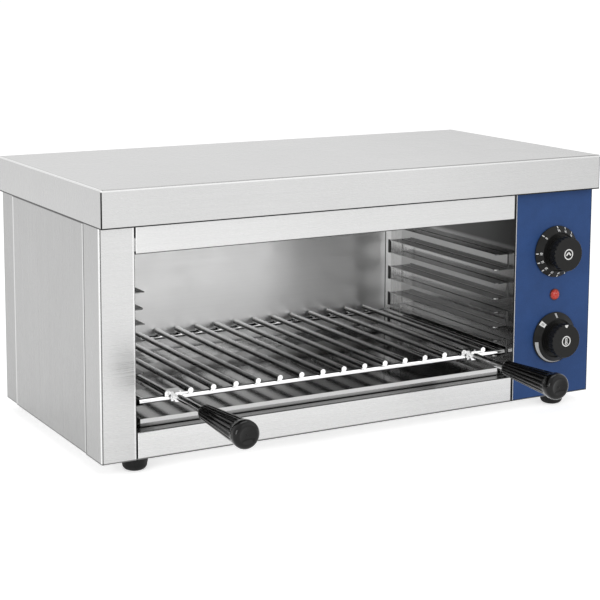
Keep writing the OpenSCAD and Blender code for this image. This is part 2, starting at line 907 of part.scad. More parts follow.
// ---- Feet and fasteners ----

module foot(side, end) {
    r = foot_d / 2;
    bore_d = foot_head_d + foot_head_gap;
    round_r = min(sole_round, r - sole_inset - bore_d / 2 - sole_ring);
    flat_r = r - sole_inset - round_r;
    color(BLACK) translate([foot_x(side), foot_y(end), 0]) difference() {
        rotate_extrude() polygon(concat(
            [[0, 0], [flat_r, 0]],
            [for (a = [-75 : 15 : 0])
                [flat_r + round_r * cos(a), round_r + round_r * sin(a)]],
            [[r, foot_h - foot_brim], [r, foot_h], [0, foot_h]]
        ));
        translate([0, 0, -cut]) cylinder(d = bore_d, h = foot_h / 2 + cut);
        translate([0, 0, -cut]) cylinder(d = foot_screw_d + 2 * run_fit, h = foot_h + 2 * cut);
    }
}

module foot_screws() {
    color(BRIGHT) for (side = [-1, 1], end = [-1, 1])
        translate([foot_x(side), foot_y(end), foot_h / 2]) {
            translate([0, 0, -foot_head_h]) cylinder(d = foot_head_d, h = foot_head_h);
            cylinder(d = foot_screw_d, h = foot_h / 2 + sheet + foot_thread);
        }
}

module panel_screw(x, y, z) {
    facing_back(x, y, z) {
        cylinder(d = screw_head_d, h = screw_head_h);
        translate([0, 0, -screw_l]) cylinder(d = screw_d, h = screw_l);
    }
}

module rear_screws() {
    color(BRIGHT) for (x = rear_screw_x) panel_screw(x, rear_y, rear_screw_z);
}

module lid_screws() {
    color(BRIGHT) for (x = lid_screw_x) panel_screw(x, lid_rear_y, lid_screw_z);
}

lid();
front_post();
fascia();
bottom_rail();
control_plate();
control_overlay();
side_panel(-1);  // side_panel_left
side_panel(1);  // side_panel_right
rear_cover();
base_plate();
liner(-1);  // liner_left
liner(1);  // liner_right
chamber_back();
reflector();
guide(-1, 1);  // guide_left_1
guide(-1, 2);  // guide_left_2
guide(-1, 3);  // guide_left_3
guide(-1, 4);  // guide_left_4
guide(1, 1);  // guide_right_1
guide(1, 2);  // guide_right_2
guide(1, 3);  // guide_right_3
guide(1, 4);  // guide_right_4
guide_post(-1);  // guide_post_left
guide_post(1);  // guide_post_right
element(element_leg_y()[0]);  // element_front
element(element_leg_y()[2]);  // element_rear
element_clips();
element_bushes();
element_pins();
wire_rack();
handle_bracket(handle_left_x);  // handle_bracket_left
handle_bracket(handle_right_x);  // handle_bracket_right
handle_stem(handle_left_x);  // handle_stem_left
handle_stem(handle_right_x);  // handle_stem_right
handle_nut(handle_left_x);  // handle_nut_left
handle_nut(handle_right_x);  // handle_nut_right
handle_grip(handle_left_x);  // handle_grip_left
handle_grip(handle_right_x);  // handle_grip_right
crumb_tray();
tray_runner(-1);  // tray_runner_left
tray_runner(1);  // tray_runner_right
control_body(timer_z, timer_size);  // timer_body
control_shaft(timer_z);  // timer_shaft
knob(timer_z);  // timer_knob
control_body(thermostat_z, thermostat_size);  // thermostat_body
control_shaft(thermostat_z);  // thermostat_shaft
knob(thermostat_z);  // thermostat_knob
thermostat_bulb();
lamp_lens();
lamp_body();
terminal_block();
cable_gland();
foot(-1, -1);  // foot_front_left
foot(1, -1);  // foot_front_right
foot(-1, 1);  // foot_rear_left
foot(1, 1);  // foot_rear_right
foot_screws();
rear_screws();
lid_screws();
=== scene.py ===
import math

import bmesh
import bpy
from mathutils import Matrix, Vector


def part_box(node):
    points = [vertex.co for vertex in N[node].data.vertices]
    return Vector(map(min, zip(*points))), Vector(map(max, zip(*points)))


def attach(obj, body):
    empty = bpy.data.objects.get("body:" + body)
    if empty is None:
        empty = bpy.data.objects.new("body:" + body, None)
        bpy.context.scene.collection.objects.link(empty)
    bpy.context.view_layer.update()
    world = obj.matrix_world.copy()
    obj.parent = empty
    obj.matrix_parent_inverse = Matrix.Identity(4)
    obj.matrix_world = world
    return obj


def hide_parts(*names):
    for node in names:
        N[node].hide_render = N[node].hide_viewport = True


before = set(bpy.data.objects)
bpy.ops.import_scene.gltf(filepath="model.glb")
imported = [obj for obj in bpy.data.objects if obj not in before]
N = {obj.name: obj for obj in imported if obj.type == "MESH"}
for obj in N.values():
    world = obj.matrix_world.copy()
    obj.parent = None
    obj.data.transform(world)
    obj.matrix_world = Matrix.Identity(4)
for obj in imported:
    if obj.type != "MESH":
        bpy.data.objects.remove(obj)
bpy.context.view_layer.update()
MM = 0.001
AXES = {"x": (1, 0, 0), "y": (0, 1, 0), "z": (0, 0, 1)}


def side(node, name, width, start=0.0):
    """The slice of a node's box next to one of its sides, such as x0 or z1, in millimetres."""
    axis = "xyz".index(name[0])
    lo, hi = (corner[axis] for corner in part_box(node))
    slack = 0.02 * MM
    if name[1] == "0":
        return {name[0]: (lo + start * MM - slack, lo + (start + width) * MM + slack)}
    return {name[0]: (hi - (start + width) * MM - slack, hi - start * MM + slack)}


def middle(node):
    lo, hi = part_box(node)
    return (lo + hi) / 2


# ---- Node trees ----

class Graph:
    """A node tree with short calls for nodes and links."""

    def __init__(self, owner):
        owner.use_nodes = True
        self.owner = owner
        self.nodes = owner.node_tree.nodes
        self.links = owner.node_tree.links
        self.shader = self.nodes.get("Principled BSDF")

    def node(self, kind, **inputs):
        n = self.nodes.new("ShaderNode" + kind)
        for key, value in inputs.items():
            if key in n.inputs:
                n.inputs[key].default_value = value
            else:
                setattr(n, key, value)
        return n

    def link(self, a, b):
        self.links.new(a, b)

    def set(self, **values):
        for key, value in values.items():
            self.shader.inputs[key.replace("_", " ")].default_value = value

    def place(self, scale=(1, 1, 1)):
        """Object coordinates in metres, scaled for each axis."""
        coord = self.node("TexCoord")
        mapping = self.node("Mapping")
        mapping.inputs["Scale"].default_value = scale
        self.link(coord.outputs["Object"], mapping.inputs["Vector"])
        return mapping.outputs["Vector"]

    def noise(self, vector, scale, detail=3.0, rough=0.6):
        n = self.node("TexNoise", Scale=scale, Detail=detail, Roughness=rough)
        self.link(vector, n.inputs["Vector"])
        return n.outputs["Fac"]

    def span(self, value, lo, hi, to_lo, to_hi):
        n = self.node("MapRange")
        for i, v in zip((1, 2, 3, 4), (lo, hi, to_lo, to_hi)):
            n.inputs[i].default_value = v
        self.link(value, n.inputs[0])
        return n.outputs[0]

    def math(self, kind, a, b):
        n = self.node("Math", operation=kind)
        for socket, value in zip(n.inputs, (a, b)):
            if isinstance(value, (int, float)):
                socket.default_value = value
            else:
                self.link(value, socket)
        return n.outputs[0]

    def product(self, *values):
        total = values[0]
        for value in values[1:]:
            total = self.math("MULTIPLY", total, value)
        return total

    def inside(self, spans):
        """1 where every named axis lies within its span, else 0."""
        split = self.node("SeparateXYZ")
        self.link(self.place(), split.inputs[0])
        masks = []
        for axis, (lo, hi) in spans.items():
            n = self.node("Math", operation="COMPARE")
            self.link(split.outputs[axis.upper()], n.inputs[0])
            n.inputs[1].default_value = (lo + hi) / 2
            n.inputs[2].default_value = (hi - lo) / 2
            masks.append(n.outputs[0])
        return self.product(*masks)

    def ramp(self, axis, lo, hi, at_lo, at_hi):
        """A number that runs evenly between two places on an axis, given in millimetres."""
        split = self.node("SeparateXYZ")
        self.link(self.place(), split.inputs[0])
        return self.span(split.outputs[axis], lo * MM, hi * MM, at_lo, at_hi)

    def facing(self, axis):
        """1 on faces that look along an axis, either way, else 0."""
        coord = self.node("TexCoord")
        split = self.node("SeparateXYZ")
        self.link(coord.outputs["Normal"], split.inputs[0])
        return self.math("GREATER_THAN", self.math("ABSOLUTE", split.outputs[axis], 0), 0.7)

    def pick(self, factor, a, b):
        n = self.node("Mix", data_type="VECTOR")
        self.link(factor, n.inputs["Factor"])
        vectors = [s for s in n.inputs if s.type == "VECTOR" and s.name in "AB"]
        self.link(a, vectors[0])
        self.link(b, vectors[1])
        return [s for s in n.outputs if s.type == "VECTOR"][0]

    def tint(self, colour, amount):
        """A colour times a number."""
        n = self.node("VectorMath", operation="SCALE")
        n.inputs[0].default_value = colour
        self.link(amount, n.inputs["Scale"])
        self.link(n.outputs[0], self.shader.inputs["Base Color"])

    def bump(self, height, strength, distance):
        n = self.node("Bump", Strength=strength, Distance=distance)
        self.link(height, n.inputs["Height"])
        self.link(n.outputs["Normal"], self.shader.inputs["Normal"])

    def comb(self, grain, amount):
        """Spreads reflections across brush lines that run along one axis."""
        coord = self.node("TexCoord")
        cross = self.node("VectorMath", operation="CROSS_PRODUCT")
        self.link(coord.outputs["Normal"], cross.inputs[0])
        cross.inputs[1].default_value = AXES[grain]
        nudge = self.node("VectorMath", operation="ADD")
        self.link(cross.outputs[0], nudge.inputs[0])
        nudge.inputs[1].default_value = (0.011, 0.013, 0.017)
        self.link(nudge.outputs[0], self.shader.inputs["Tangent"])
        self.set(Anisotropic=amount)


# ---- Materials ----

# Most of a noise texture's values lie between these two.
NOISE = (0.3, 0.7)


def stretched(grain, across, along):
    """A scale for noise that is drawn out along one axis."""
    return tuple(along if axis == grain else across for axis in "xyz")


def brushed(name, tone, grain="x", end_grain="z", rough=(0.2, 0.32), streak=0.03, marks=(),
            spread=0.5, faces=(), fades=(), cloud=0.02):
    """Brushed steel. grain is the axis of the brush lines, and end_grain is theirs on faces that
    look along X. marks are slices that are painted darker or brighter, faces does the same for the
    faces that look along an axis, and fades are soft changes of tone: all three paint in shade and
    highlights."""
    g = Graph(bpy.data.materials.new(name))
    hair_across, hair_along = 1400, 6
    band_across, band_along = 260, 2
    hair = g.noise(g.pick(g.facing("X"), g.place(stretched(grain, hair_across, hair_along)),
                          g.place(stretched(end_grain, hair_across, hair_along))), 1.0, 4.0, 0.7)
    bands = g.noise(g.place(stretched(grain, band_across, band_along)), 1.0, 2.0, 0.5)
    clouds = g.noise(g.place(), 6.0, 3.0, 0.5)
    handling = g.noise(g.place(), 30.0, 5.0, 0.65)
    shade = g.product(g.span(hair, *NOISE, 1 - streak, 1 + streak),
                      g.span(bands, *NOISE, 1 - streak / 3, 1 + streak / 3),
                      g.span(clouds, *NOISE, 1 - cloud, 1 + cloud))
    for spans, factor in marks:
        shade = g.product(shade, g.span(g.inside(spans), 0, 1, 1, factor))
    for axis, factor in faces:
        shade = g.product(shade, g.span(g.facing(axis), 0, 1, 1, factor))
    for fade in fades:
        shade = g.product(shade, g.ramp(*fade))
    g.tint((tone, tone, tone * 0.997), shade)
    g.link(g.product(g.span(hair, *NOISE, *rough), g.span(handling, 0.35, 0.7, 1.0, 1.15)),
           g.shader.inputs["Roughness"])
    g.set(Metallic=1)
    if spread:
        g.comb(grain, spread)
    g.bump(hair, 0.08, 0.0001)
    return g.owner


def plated(name, tone, rough=0.1, flank_shade=()):
    """Bright plating with faint handling marks. Its last argument paints shade on the flanks and
    undersides of rods that run along Y, standing in for the dark reflections of their
    surroundings: each step gives two values of the normal's Z and the tone at them."""
    g = Graph(bpy.data.materials.new(name))
    marks = g.noise(g.place((300, 300, 300)), 1.0, 4.0, 0.6)
    shade = g.span(marks, *NOISE, 0.96, 1.02)
    if flank_shade:
        coord = g.node("TexCoord")
        split = g.node("SeparateXYZ")
        g.link(coord.outputs["Normal"], split.inputs[0])
        tone_by_height = g.product(*(g.span(split.outputs["Z"], *step) for step in flank_shade))
        along_y = g.span(g.math("ABSOLUTE", split.outputs["Y"], 0), 0.05, 0.3, 1, 0)
        loss = g.product(along_y, g.math("SUBTRACT", 1, tone_by_height))
        shade = g.product(shade, g.math("SUBTRACT", 1, loss))
    g.tint((tone, tone, tone), shade)
    g.link(g.span(marks, *NOISE, rough * 0.7, rough * 1.6), g.shader.inputs["Roughness"])
    g.set(Metallic=1)
    g.bump(marks, 0.03, 0.0002)
    return g.owner


def moulded(name, colour, rough=(0.2, 0.32), grain_size=900, depth=0.1, gloss=0.5, marks=()):
    """Moulded plastic, rubber or enamel with a fine skin."""
    g = Graph(bpy.data.materials.new(name))
    skin = g.noise(g.place((grain_size,) * 3), 1.0, 3.0, 0.6)
    wear = g.noise(g.place(), 45.0, 4.0, 0.6)
    shade = g.product(g.span(skin, *NOISE, 0.94, 1.06), g.span(wear, *NOISE, 0.93, 1.07))
    for spans, factor in marks:
        shade = g.product(shade, g.span(g.inside(spans), 0, 1, 1, factor))
    g.tint(colour, shade)
    g.link(g.span(wear, *NOISE, *rough), g.shader.inputs["Roughness"])
    g.shader.inputs["Specular IOR Level"].default_value = gloss
    g.bump(skin, depth, 0.0002)
    return g.owner


# How much darker or brighter than its sheet a fold, seam or cut edge is painted: the darker values
# are painted shade and shadow, the brighter ones painted highlights.
SEAM_SHADOW = 0.05
SHADE = 0.2
EDGE_SHADE = 0.3
DULL_SHADE = 0.6
FAINT_HIGHLIGHT = 1.25
STRONG_HIGHLIGHT = 1.6

# Widths in millimetres: of a rounded fold, of a cut edge's line, and a depth that takes in
# only a sheet's outer face.
FOLD = 1.6
CUT = 1.2
SKIN = 0.5


def lid_marks():
    """Painted highlights and shade on the folds round the top, painted shadow in the open corner
    seams and painted shadow along the lower edge.
    """
    marks = [(side("lid", "z0", 1.3), SEAM_SHADOW)]
    for x in ("x0", "x1"):
        marks.append(({**side("lid", x, 1.3), **side("lid", "z1", FOLD)}, STRONG_HIGHLIGHT))
        marks.append(({**side("lid", x, 1.0, 1.4), **side("lid", "z1", SKIN)}, DULL_SHADE))
        for y in ("y0", "y1"):
            seam = {**side("lid", x, CUT), **side("lid", y, CUT)}
            seam["z"] = (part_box("lid")[0].z, side("lid", "z1", FOLD + 0.6)["z"][0])
            marks.append((seam, SEAM_SHADOW))
    for y in ("y0", "y1"):
        marks.append(({**side("lid", y, 1.5), **side("lid", "z1", 0.9)}, DULL_SHADE))
        marks.append(({**side("lid", y, SKIN), **side("lid", "z1", 1.2, 1.2)}, FAINT_HIGHLIGHT))
    return marks


def wrap_marks(node, outer, inner_edge):
    """A front piece that wraps round one side: painted shade on its side face, a painted highlight
    on its fold with painted shade beside it, painted shade along its rear and lower edges, and
    painted shadow in its seam.
    """
    return [
        (side(node, outer, SKIN), 0.68),
        ({**side(node, outer, SKIN), **side(node, "y0", 2.8)}, 2.0),
        ({**side(node, outer, 1.2, 0.7), **side(node, "y0", 1.0)}, EDGE_SHADE),
        ({**side(node, outer, SKIN), **side(node, "y1", 1.8)}, SHADE),
        ({**side(node, inner_edge, 1.0), **side(node, "y0", CUT)}, SEAM_SHADOW),
        (side(node, "z0", CUT), EDGE_SHADE),
    ]


def panel_marks(node, outer):
    """A side panel: painted highlights on its edges beside its neighbours, painted shade under the
    lid and along its lower edge.
    """
    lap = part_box("front_post")[1].y + 1.8 * MM
    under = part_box("lid")[0].z
    return [
        ({**side(node, outer, SKIN), "y": (lap, lap + 3.4 * MM)}, STRONG_HIGHLIGHT),
        ({**side(node, outer, SKIN), **side(node, "y1", 3.0)}, STRONG_HIGHLIGHT),
        ({**side(node, outer, SKIN), "z": (under - 1.8 * MM, under)}, SHADE),
        (side(node, "z0", 1.0), EDGE_SHADE),
    ]


def front_marks(node):
    """A plain front piece: painted shade along its lower edge, painted shadow in the seam at its
    right and a painted highlight on its left edge.
    """
    return [
        (side(node, "z0", CUT), EDGE_SHADE),
        ({**side(node, "x1", 1.0), **side(node, "y0", CUT)}, SEAM_SHADOW),
        ({**side(node, "x0", 0.8), **side(node, "y0", CUT)}, FAINT_HIGHLIGHT),
    ]


# Tones of the sheets that face forward and up, and of those at the sides and rear, whose darker
# tone is painted shade. The side fade below paints them darker towards the bottom, also as painted
# shade.
STEEL = 0.54
SIDE = 0.38
SIDE_SHADE_FADE = ("Z", 13, 250, 0.93, 1.07)
M = {
    # Painted light: the fascia is painted lighter towards its left.
    "fascia": brushed("steel_fascia", STEEL + 0.04, marks=front_marks("fascia"),
                      fades=(("X", -264, 194, 1.11, 0.98),)),
    # Painted shade on the rail's flat faces, along its lower edge and on its top fold; painted
    # light towards its left.
    "rail": brushed("steel_rail", STEEL + 0.06, faces=(("Z", 0.3),),
                    fades=(("X", -264, 194, 1.14, 0.99),),
                    marks=front_marks("bottom_rail") + [
                        (side("bottom_rail", "z0", 1.7), DULL_SHADE),
                        ({**side("bottom_rail", "z1", 0.9), **side("bottom_rail", "y0", 0.9)},
                         EDGE_SHADE)]),
    # The post carries the wrap's painted shade and highlights, and a painted highlight on its edge
    # beside the seam at its right.
    "post": brushed("steel_post", STEEL + 0.04, marks=wrap_marks("front_post", "x0", "x1") + [
        ({**side("front_post", "x1", 1.6, 1.1), **side("front_post", "y0", 1.0)}, FAINT_HIGHLIGHT)]),
    # The plate carries the wrap's painted shade and highlights.
    "plate": brushed("steel_plate", STEEL + 0.1, marks=wrap_marks("control_plate", "x1", "x0")),
    # The side panels take the darker side tone and fade, both painted shade.
    "side_left": brushed("steel_side_left", SIDE, "z", "z", streak=0.02, fades=(SIDE_SHADE_FADE,),
                         marks=panel_marks("side_panel_left", "x0")),
    "side_right": brushed("steel_side_right", SIDE, "z", "z", streak=0.02, fades=(SIDE_SHADE_FADE,),
                          marks=panel_marks("side_panel_right", "x1")),
    # The rear takes the sides' painted shade, with painted shade along its lower edge.
    "rear": brushed("steel_rear", SIDE - 0.02, "z", "z", streak=0.02, fades=(SIDE_SHADE_FADE,),
                    marks=[(side("rear_cover", "z0", 1.0), EDGE_SHADE)]),
    # Painted shade on the lid's side faces and towards its right.
    "lid": brushed("steel_lid", STEEL, streak=0.02, marks=lid_marks(), faces=(("X", 0.88),),
                   fades=(("X", 50, 300, 1.03, 0.9),)),
    "base": brushed("steel_base", 0.5),
    # Painted light: the back wall is lighter low down; painted shadow in the strips at its ends.
    "chamber": brushed("steel_chamber", 0.88, rough=(0.3, 0.4), streak=0.02, spread=0.75,
                       fades=(("Z", 60, 150, 1.06, 1.0),),
                       marks=[(side("chamber_back", "x1", 1.6), SEAM_SHADOW),
                              (side("chamber_back", "x0", 1.6), SEAM_SHADOW)]),
    # Painted shade: the reflector is painted nearly black where the chamber's top lies in shade.
    "ceiling": brushed("steel_ceiling", 0.05, rough=(0.3, 0.45), spread=0),
    # Painted light and shade: the liners are painted dark towards the front and above the top
    # guide, and the strong cloud paints in broad reflections.
    "liner": brushed("steel_liner", 0.84, "y", "y", rough=(0.12, 0.22), streak=0.03, spread=0,
                     cloud=0.16, fades=(("Y", -70, 60, 0.35, 1.0), ("Z", 182, 192, 1.0, 0.16))),
    # Painted shade on the guides' flat faces and at their front ends.
    "guide": brushed("steel_guide", 0.46, "y", "y", rough=(0.06, 0.12), streak=0.02, spread=0,
                     faces=(("Z", 0.17),), marks=[(side("guide_left_1", "y0", 0.6), 0.3)]),
    # Painted shadow along the posts' inner edges.
    "guide_post": brushed("steel_guide_post", 0.66, "z", "z", rough=(0.2, 0.3), spread=0,
                          marks=[(side("guide_post_right", "x0", CUT), SEAM_SHADOW),
                                 (side("guide_post_left", "x1", CUT), SEAM_SHADOW)]),
    # Painted shade along the tray's lower edge.
    "floor": brushed("steel_tray", 0.52, rough=(0.05, 0.1), streak=0.05,
                     marks=[(side("crumb_tray", "z0", 1.2), 0.6)]),
    # Painted shade on the rods' flanks and undersides, standing in for dark reflections.
    "rod": plated("rack_plating", 0.9, 0.04,
                  flank_shade=((0.45, 0.72, 0.24, 1.0), (-0.10, 0.10, 0.12, 1.0))),
    "chrome": plated("bright_plating", 0.84, 0.06),
    "screw": plated("screw_plating", 0.62, 0.22),
    # Painted shade along the overlay's right and lower edges.
    "blue": moulded("blue_enamel", (0.034, 0.080, 0.225), rough=(0.34, 0.44), gloss=0.12,
                    marks=[(side("control_overlay", "x1", 0.9), 0.5),
                           (side("control_overlay", "z0", 0.9), 0.4)]),
    "grip": moulded("grip_phenolic", (0.003, 0.003, 0.003), rough=(0.05, 0.1), depth=0.02,
                    gloss=0.26),
    "knob": moulded("knob_phenolic", (0.013, 0.013, 0.0125), rough=(0.3, 0.42), depth=0.2,
                    gloss=0.16),
    "print": moulded("dial_print", (0.88, 0.88, 0.86), rough=(0.4, 0.5), gloss=0.3),
    "grey_print": moulded("dial_print_grey", (0.50, 0.50, 0.49), rough=(0.4, 0.5), gloss=0.3),
    "plastic": moulded("inner_plastic", (0.02, 0.02, 0.02), rough=(0.4, 0.55)),
    "rubber": moulded("foot_rubber", (0.008, 0.008, 0.008), rough=(0.5, 0.7), depth=0.3,
                      gloss=0.2),
    # Painted shadow of the bezel round the lens's flange.
    "lens": moulded("lamp_lens", (0.62, 0.04, 0.022), rough=(0.05, 0.1), depth=0.02, gloss=0.6,
                    marks=[(side("lamp_lens", "y1", 1.1), 0.12)]),
    "ceramic": moulded("ceramic", (0.72, 0.69, 0.60), rough=(0.3, 0.4)),
    "sheath": brushed("element_sheath", 0.16, rough=(0.45, 0.6), streak=0.2, spread=0),
    "copper": plated("copper_tube", 0.5, 0.3),
}
LOOK = {
    "lid": "lid", "front_post": "post", "fascia": "fascia", "bottom_rail": "rail",
    "control_plate": "plate", "control_overlay": "blue",
    "side_panel_left": "side_left", "side_panel_right": "side_right", "rear_cover": "rear",
    "base_plate": "base", "liner_left": "liner", "liner_right": "liner",
    "chamber_back": "chamber", "reflector": "ceiling",
    "element_front": "sheath", "element_rear": "sheath", "element_clips": "base",
    "element_bushes": "ceramic", "element_pins": "screw", "wire_rack": "rod",
    "crumb_tray": "floor", "lamp_lens": "lens", "lamp_body": "plastic",
    "thermostat_bulb": "copper", "terminal_block": "ceramic", "cable_gland": "plastic",
    "foot_screws": "screw", "rear_screws": "screw", "lid_screws": "screw",
}
for hand in ("left", "right"):
    LOOK[f"guide_post_{hand}"] = "guide_post"
    LOOK[f"tray_runner_{hand}"] = "guide"
    LOOK[f"handle_bracket_{hand}"] = "chrome"
    LOOK[f"handle_stem_{hand}"] = "chrome"
    LOOK[f"handle_nut_{hand}"] = "chrome"
    LOOK[f"handle_grip_{hand}"] = "grip"
    for end in ("front", "rear"):
        LOOK[f"foot_{end}_{hand}"] = "rubber"
    for level in range(1, 5):
        LOOK[f"guide_{hand}_{level}"] = "guide"
for control in ("timer", "thermostat"):
    LOOK[f"{control}_body"] = "plastic"
    LOOK[f"{control}_shaft"] = "screw"
    LOOK[f"{control}_knob"] = "knob"
for name, obj in N.items():
    obj.data.materials.clear()
    obj.data.materials.append(M[LOOK[name]])


# ---- Pieces ----

def piece(name, bm, look, body, smooth=False):
    """Turns a bmesh into a piece that rides on a body."""
    bmesh.ops.recalc_face_normals(bm, faces=bm.faces)
    mesh = bpy.data.meshes.new(name)
    bm.to_mesh(mesh)
    bm.free()
    for face in mesh.polygons:
        face.use_smooth = smooth
    mesh.materials.append(M[look])
    obj = bpy.data.objects.new(name, mesh)
    bpy.context.scene.collection.objects.link(obj)
    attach(obj, body)
    return obj


class Dial:
    """Print on a knob. Places are millimetres from its axis and degrees clockwise from the top."""

    THICK = 0.08
    SUNK = 0.03
    DEGREES_PER_STEP = 5

    def __init__(self, node):
        lo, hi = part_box(node)
        self.centre = middle(node)
        self.back = hi.y
        self.depth = (hi.y - lo.y) / MM
        self.bm = bmesh.new()

    def skirt(self, r):
        """Height of the skirt's cone at a radius."""
        rim_r, rim_h, top_r, top_h = 29.5, 1.5, 22.5, 7.0
        return top_h + (r - top_r) * (rim_h - top_h) / (rim_r - top_r)

    def face(self, r):
        return self.depth

    def point(self, x, z, height):
        return Vector((self.centre.x + x * MM, self.back - height * MM, self.centre.z + z * MM))

    def polar(self, r, degrees, surface, lift):
        a = math.radians(degrees)
        return self.point(r * math.sin(a), r * math.cos(a), surface(r) + lift)

    def ribbon(self, r0, r1, a0, a1, surface, at=(0, 0)):
        """A band between two radii. r0 and r1 are numbers, or functions of 0 to 1."""
        closed = abs(a1 - a0) >= 360
        steps = max(2, int(abs(a1 - a0) / self.DEGREES_PER_STEP))
        rings = []
        for i in range(steps + (0 if closed else 1)):
            t = i / steps
            inner = r0(t) if callable(r0) else r0
            outer = r1(t) if callable(r1) else r1
            shift = Vector((at[0] * MM, 0, at[1] * MM))
            rings.append([
                self.bm.verts.new(self.polar(r, a0 + (a1 - a0) * t, surface, lift) + shift)
                for r, lift in ((inner, self.THICK), (outer, self.THICK),
                                (outer, -self.SUNK), (inner, -self.SUNK))])
        for i in range(len(rings) if closed else len(rings) - 1):
            a, b = rings[i], rings[(i + 1) % len(rings)]
            for k in range(4):
                self.bm.faces.new((a[k], a[(k + 1) % 4], b[(k + 1) % 4], b[k]))
        if not closed:
            self.bm.faces.new(rings[0])
            self.bm.faces.new(rings[-1])

    def tick(self, r0, r1, degrees, width, surface):
        half = math.degrees(width / 2 / ((r0 + r1) / 2))
        self.ribbon(r0, r1, degrees - half, degrees + half, surface)

    def bar(self, p, q, width):
        """A straight stroke on the cap's face."""
        along = (Vector(q) - Vector(p)).normalized()
        across = Vector((-along.y, along.x)) * width / 2
        outline = [Vector(p) + across, Vector(p) - across, Vector(q) - across, Vector(q) + across]
        top = [self.bm.verts.new(self.point(v.x, v.y, self.depth + self.THICK)) for v in outline]
        low = [self.bm.verts.new(self.point(v.x, v.y, self.depth - self.SUNK)) for v in outline]
        self.bm.faces.new(top)
        self.bm.faces.new(low)
        for k in range(4):
            n = (k + 1) % 4
            self.bm.faces.new((top[k], top[n], low[n], low[k]))

    def number(self, text, size, r, degrees, surface):
        """A number that stands upright towards the knob's rim."""
        curve = bpy.data.curves.new("number", "FONT")
        curve.body = text
        curve.size = size
        curve.align_x = "CENTER"
        curve.align_y = "CENTER"
        curve.extrude = (self.THICK + self.SUNK) / 2
        curve.offset = 0.03 * size
        curve.resolution_u = 3
        obj = bpy.data.objects.new("number", curve)
        bpy.context.scene.collection.objects.link(obj)
        mesh = bpy.data.meshes.new_from_object(
            obj.evaluated_get(bpy.context.evaluated_depsgraph_get()))
        bpy.data.objects.remove(obj)
        first = len(self.bm.verts)
        self.bm.from_mesh(mesh)
        self.bm.verts.ensure_lookup_table()
        for v in self.bm.verts[first:]:
            out, turn = r + v.co.y, degrees + math.degrees(v.co.x / r)
            v.co = self.polar(out, turn, surface, v.co.z + (self.THICK - self.SUNK) / 2)
        bpy.data.meshes.remove(mesh)

    def done(self, name, look, body):
        bmesh.ops.remove_doubles(self.bm, verts=self.bm.verts, dist=1e-7)
        return piece(name, self.bm, look, body)


# Inner and outer radius of the ring round the sign on each cap.
RING = (4.9, 6.1)


def timer_print():
    """Minutes that pass the top as the knob turns clockwise, and a sign with two hands."""
    d = Dial("timer_knob")
    zero_at, degrees_per_minute = 314, 4.5
    tick_from, tick_to, tick_w = 26.9, 29.2, 1.1
    number_size, number_r = 3.2, 24.4
    for minute in (0, *range(10, 75, 5)):
        degrees = zero_at - degrees_per_minute * minute
        d.tick(tick_from, tick_to, degrees, tick_w, d.skirt)
        d.number(str(minute), number_size, number_r, degrees, d.skirt)
    d.ribbon(*RING, 0, 360, d.face)
    for x in (-3.1, 3.1):
        d.bar((0, 2.4), (x, -1.2), 1.7)
    d.done("timer_print", "print", "timer")


def thermostat_print():
    """A band that narrows with the heat, an off mark, a pointer and a thermometer sign."""
    d = Dial("thermostat_knob")
    off_at, band_rim = 313, 28.4
    d.tick(23.2, 28.6, off_at, 5.2, d.skirt)
    d.ribbon(*RING, 0, 360, d.face)
    d.ribbon(lambda t: 18.6 - 3.4 * math.sin(math.pi * t), 18.8, -8, 8, d.face)
    stem, top, bulb, apart = 0.95, 2.6, -2.2, 0.02
    d.ribbon(0.9, 1.8, 0, 360, d.face, at=(0, bulb))
    d.ribbon(0.5, 1.4, -90, 90, d.face, at=(0, top))
    for x in (-stem, stem):
        d.bar((x, -0.7), (x, top - apart), 0.9)
    d.done("thermostat_print", "print", "thermostat")
    shade = Dial("thermostat_knob")
    shade.THICK = 0.12
    shade.ribbon(lambda t: band_rim - 0.6 - 2.6 * (1 - t), band_rim, 265, 165, shade.skirt)
    shade.tick(24.6, 27.2, off_at, 2.6, shade.skirt)
    shade.tick(23.8, 28.3, 0, 2.4, shade.skirt)
    shade.done("thermostat_print_grey", "grey_print", "thermostat")


def rack_welds():
    """A low bead where each bar is welded to a cross rod."""
    lo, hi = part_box("wire_rack")
    bars, pitch, rod = 16, 26 * MM, 6 * MM
    from_front, from_rear, sunk = 3.5 * MM, 8 * MM, 0.2 * MM
    ys = (lo.y + from_front, hi.y - from_rear)
    z = lo.z + rod - sunk
    half = Vector((3.2, 3.0, 1.5)) * MM
    bm = bmesh.new()
    for i in range(bars):
        for k, y in enumerate(ys):
            x = (lo.x + hi.x) / 2 + (i - (bars - 1) / 2) * pitch
            made = bmesh.ops.create_icosphere(bm, subdivisions=3, radius=1.0)["verts"]
            for v in made:
                a = math.atan2(v.co.y, v.co.x)
                swell = 1 + 0.08 * math.sin(3 * a + i) + 0.05 * math.sin(5 * a + 2 * k)
                v.co = Vector((x + v.co.x * half.x * swell, y + v.co.y * half.y * swell,
                               z + v.co.z * half.z))
    piece("rack_welds", bm, "chrome", "rack", smooth=True)


def lathe(bm, outline, centre, axis, turns=40):
    """Turns an outline of (radius, height) pairs round an axis through a centre."""
    spin = Vector((0, 0, 1)).rotation_difference(Vector(axis)).to_matrix()
    rings = []
    for r, h in outline:
        if r == 0:
            rings.append([bm.verts.new(centre + spin @ Vector((0, 0, h * MM)))])
            continue
        rings.append([
            bm.verts.new(centre + spin @ Vector((
                r * MM * math.cos(2 * math.pi * i / turns),
                r * MM * math.sin(2 * math.pi * i / turns), h * MM)))
            for i in range(turns)])
    for a, b in zip(rings, rings[1:]):
        for i in range(turns):
            n = (i + 1) % turns
            quad = (a[i % len(a)], a[n % len(a)], b[n % len(b)], b[i % len(b)])
            bm.faces.new(tuple(dict.fromkeys(quad)))


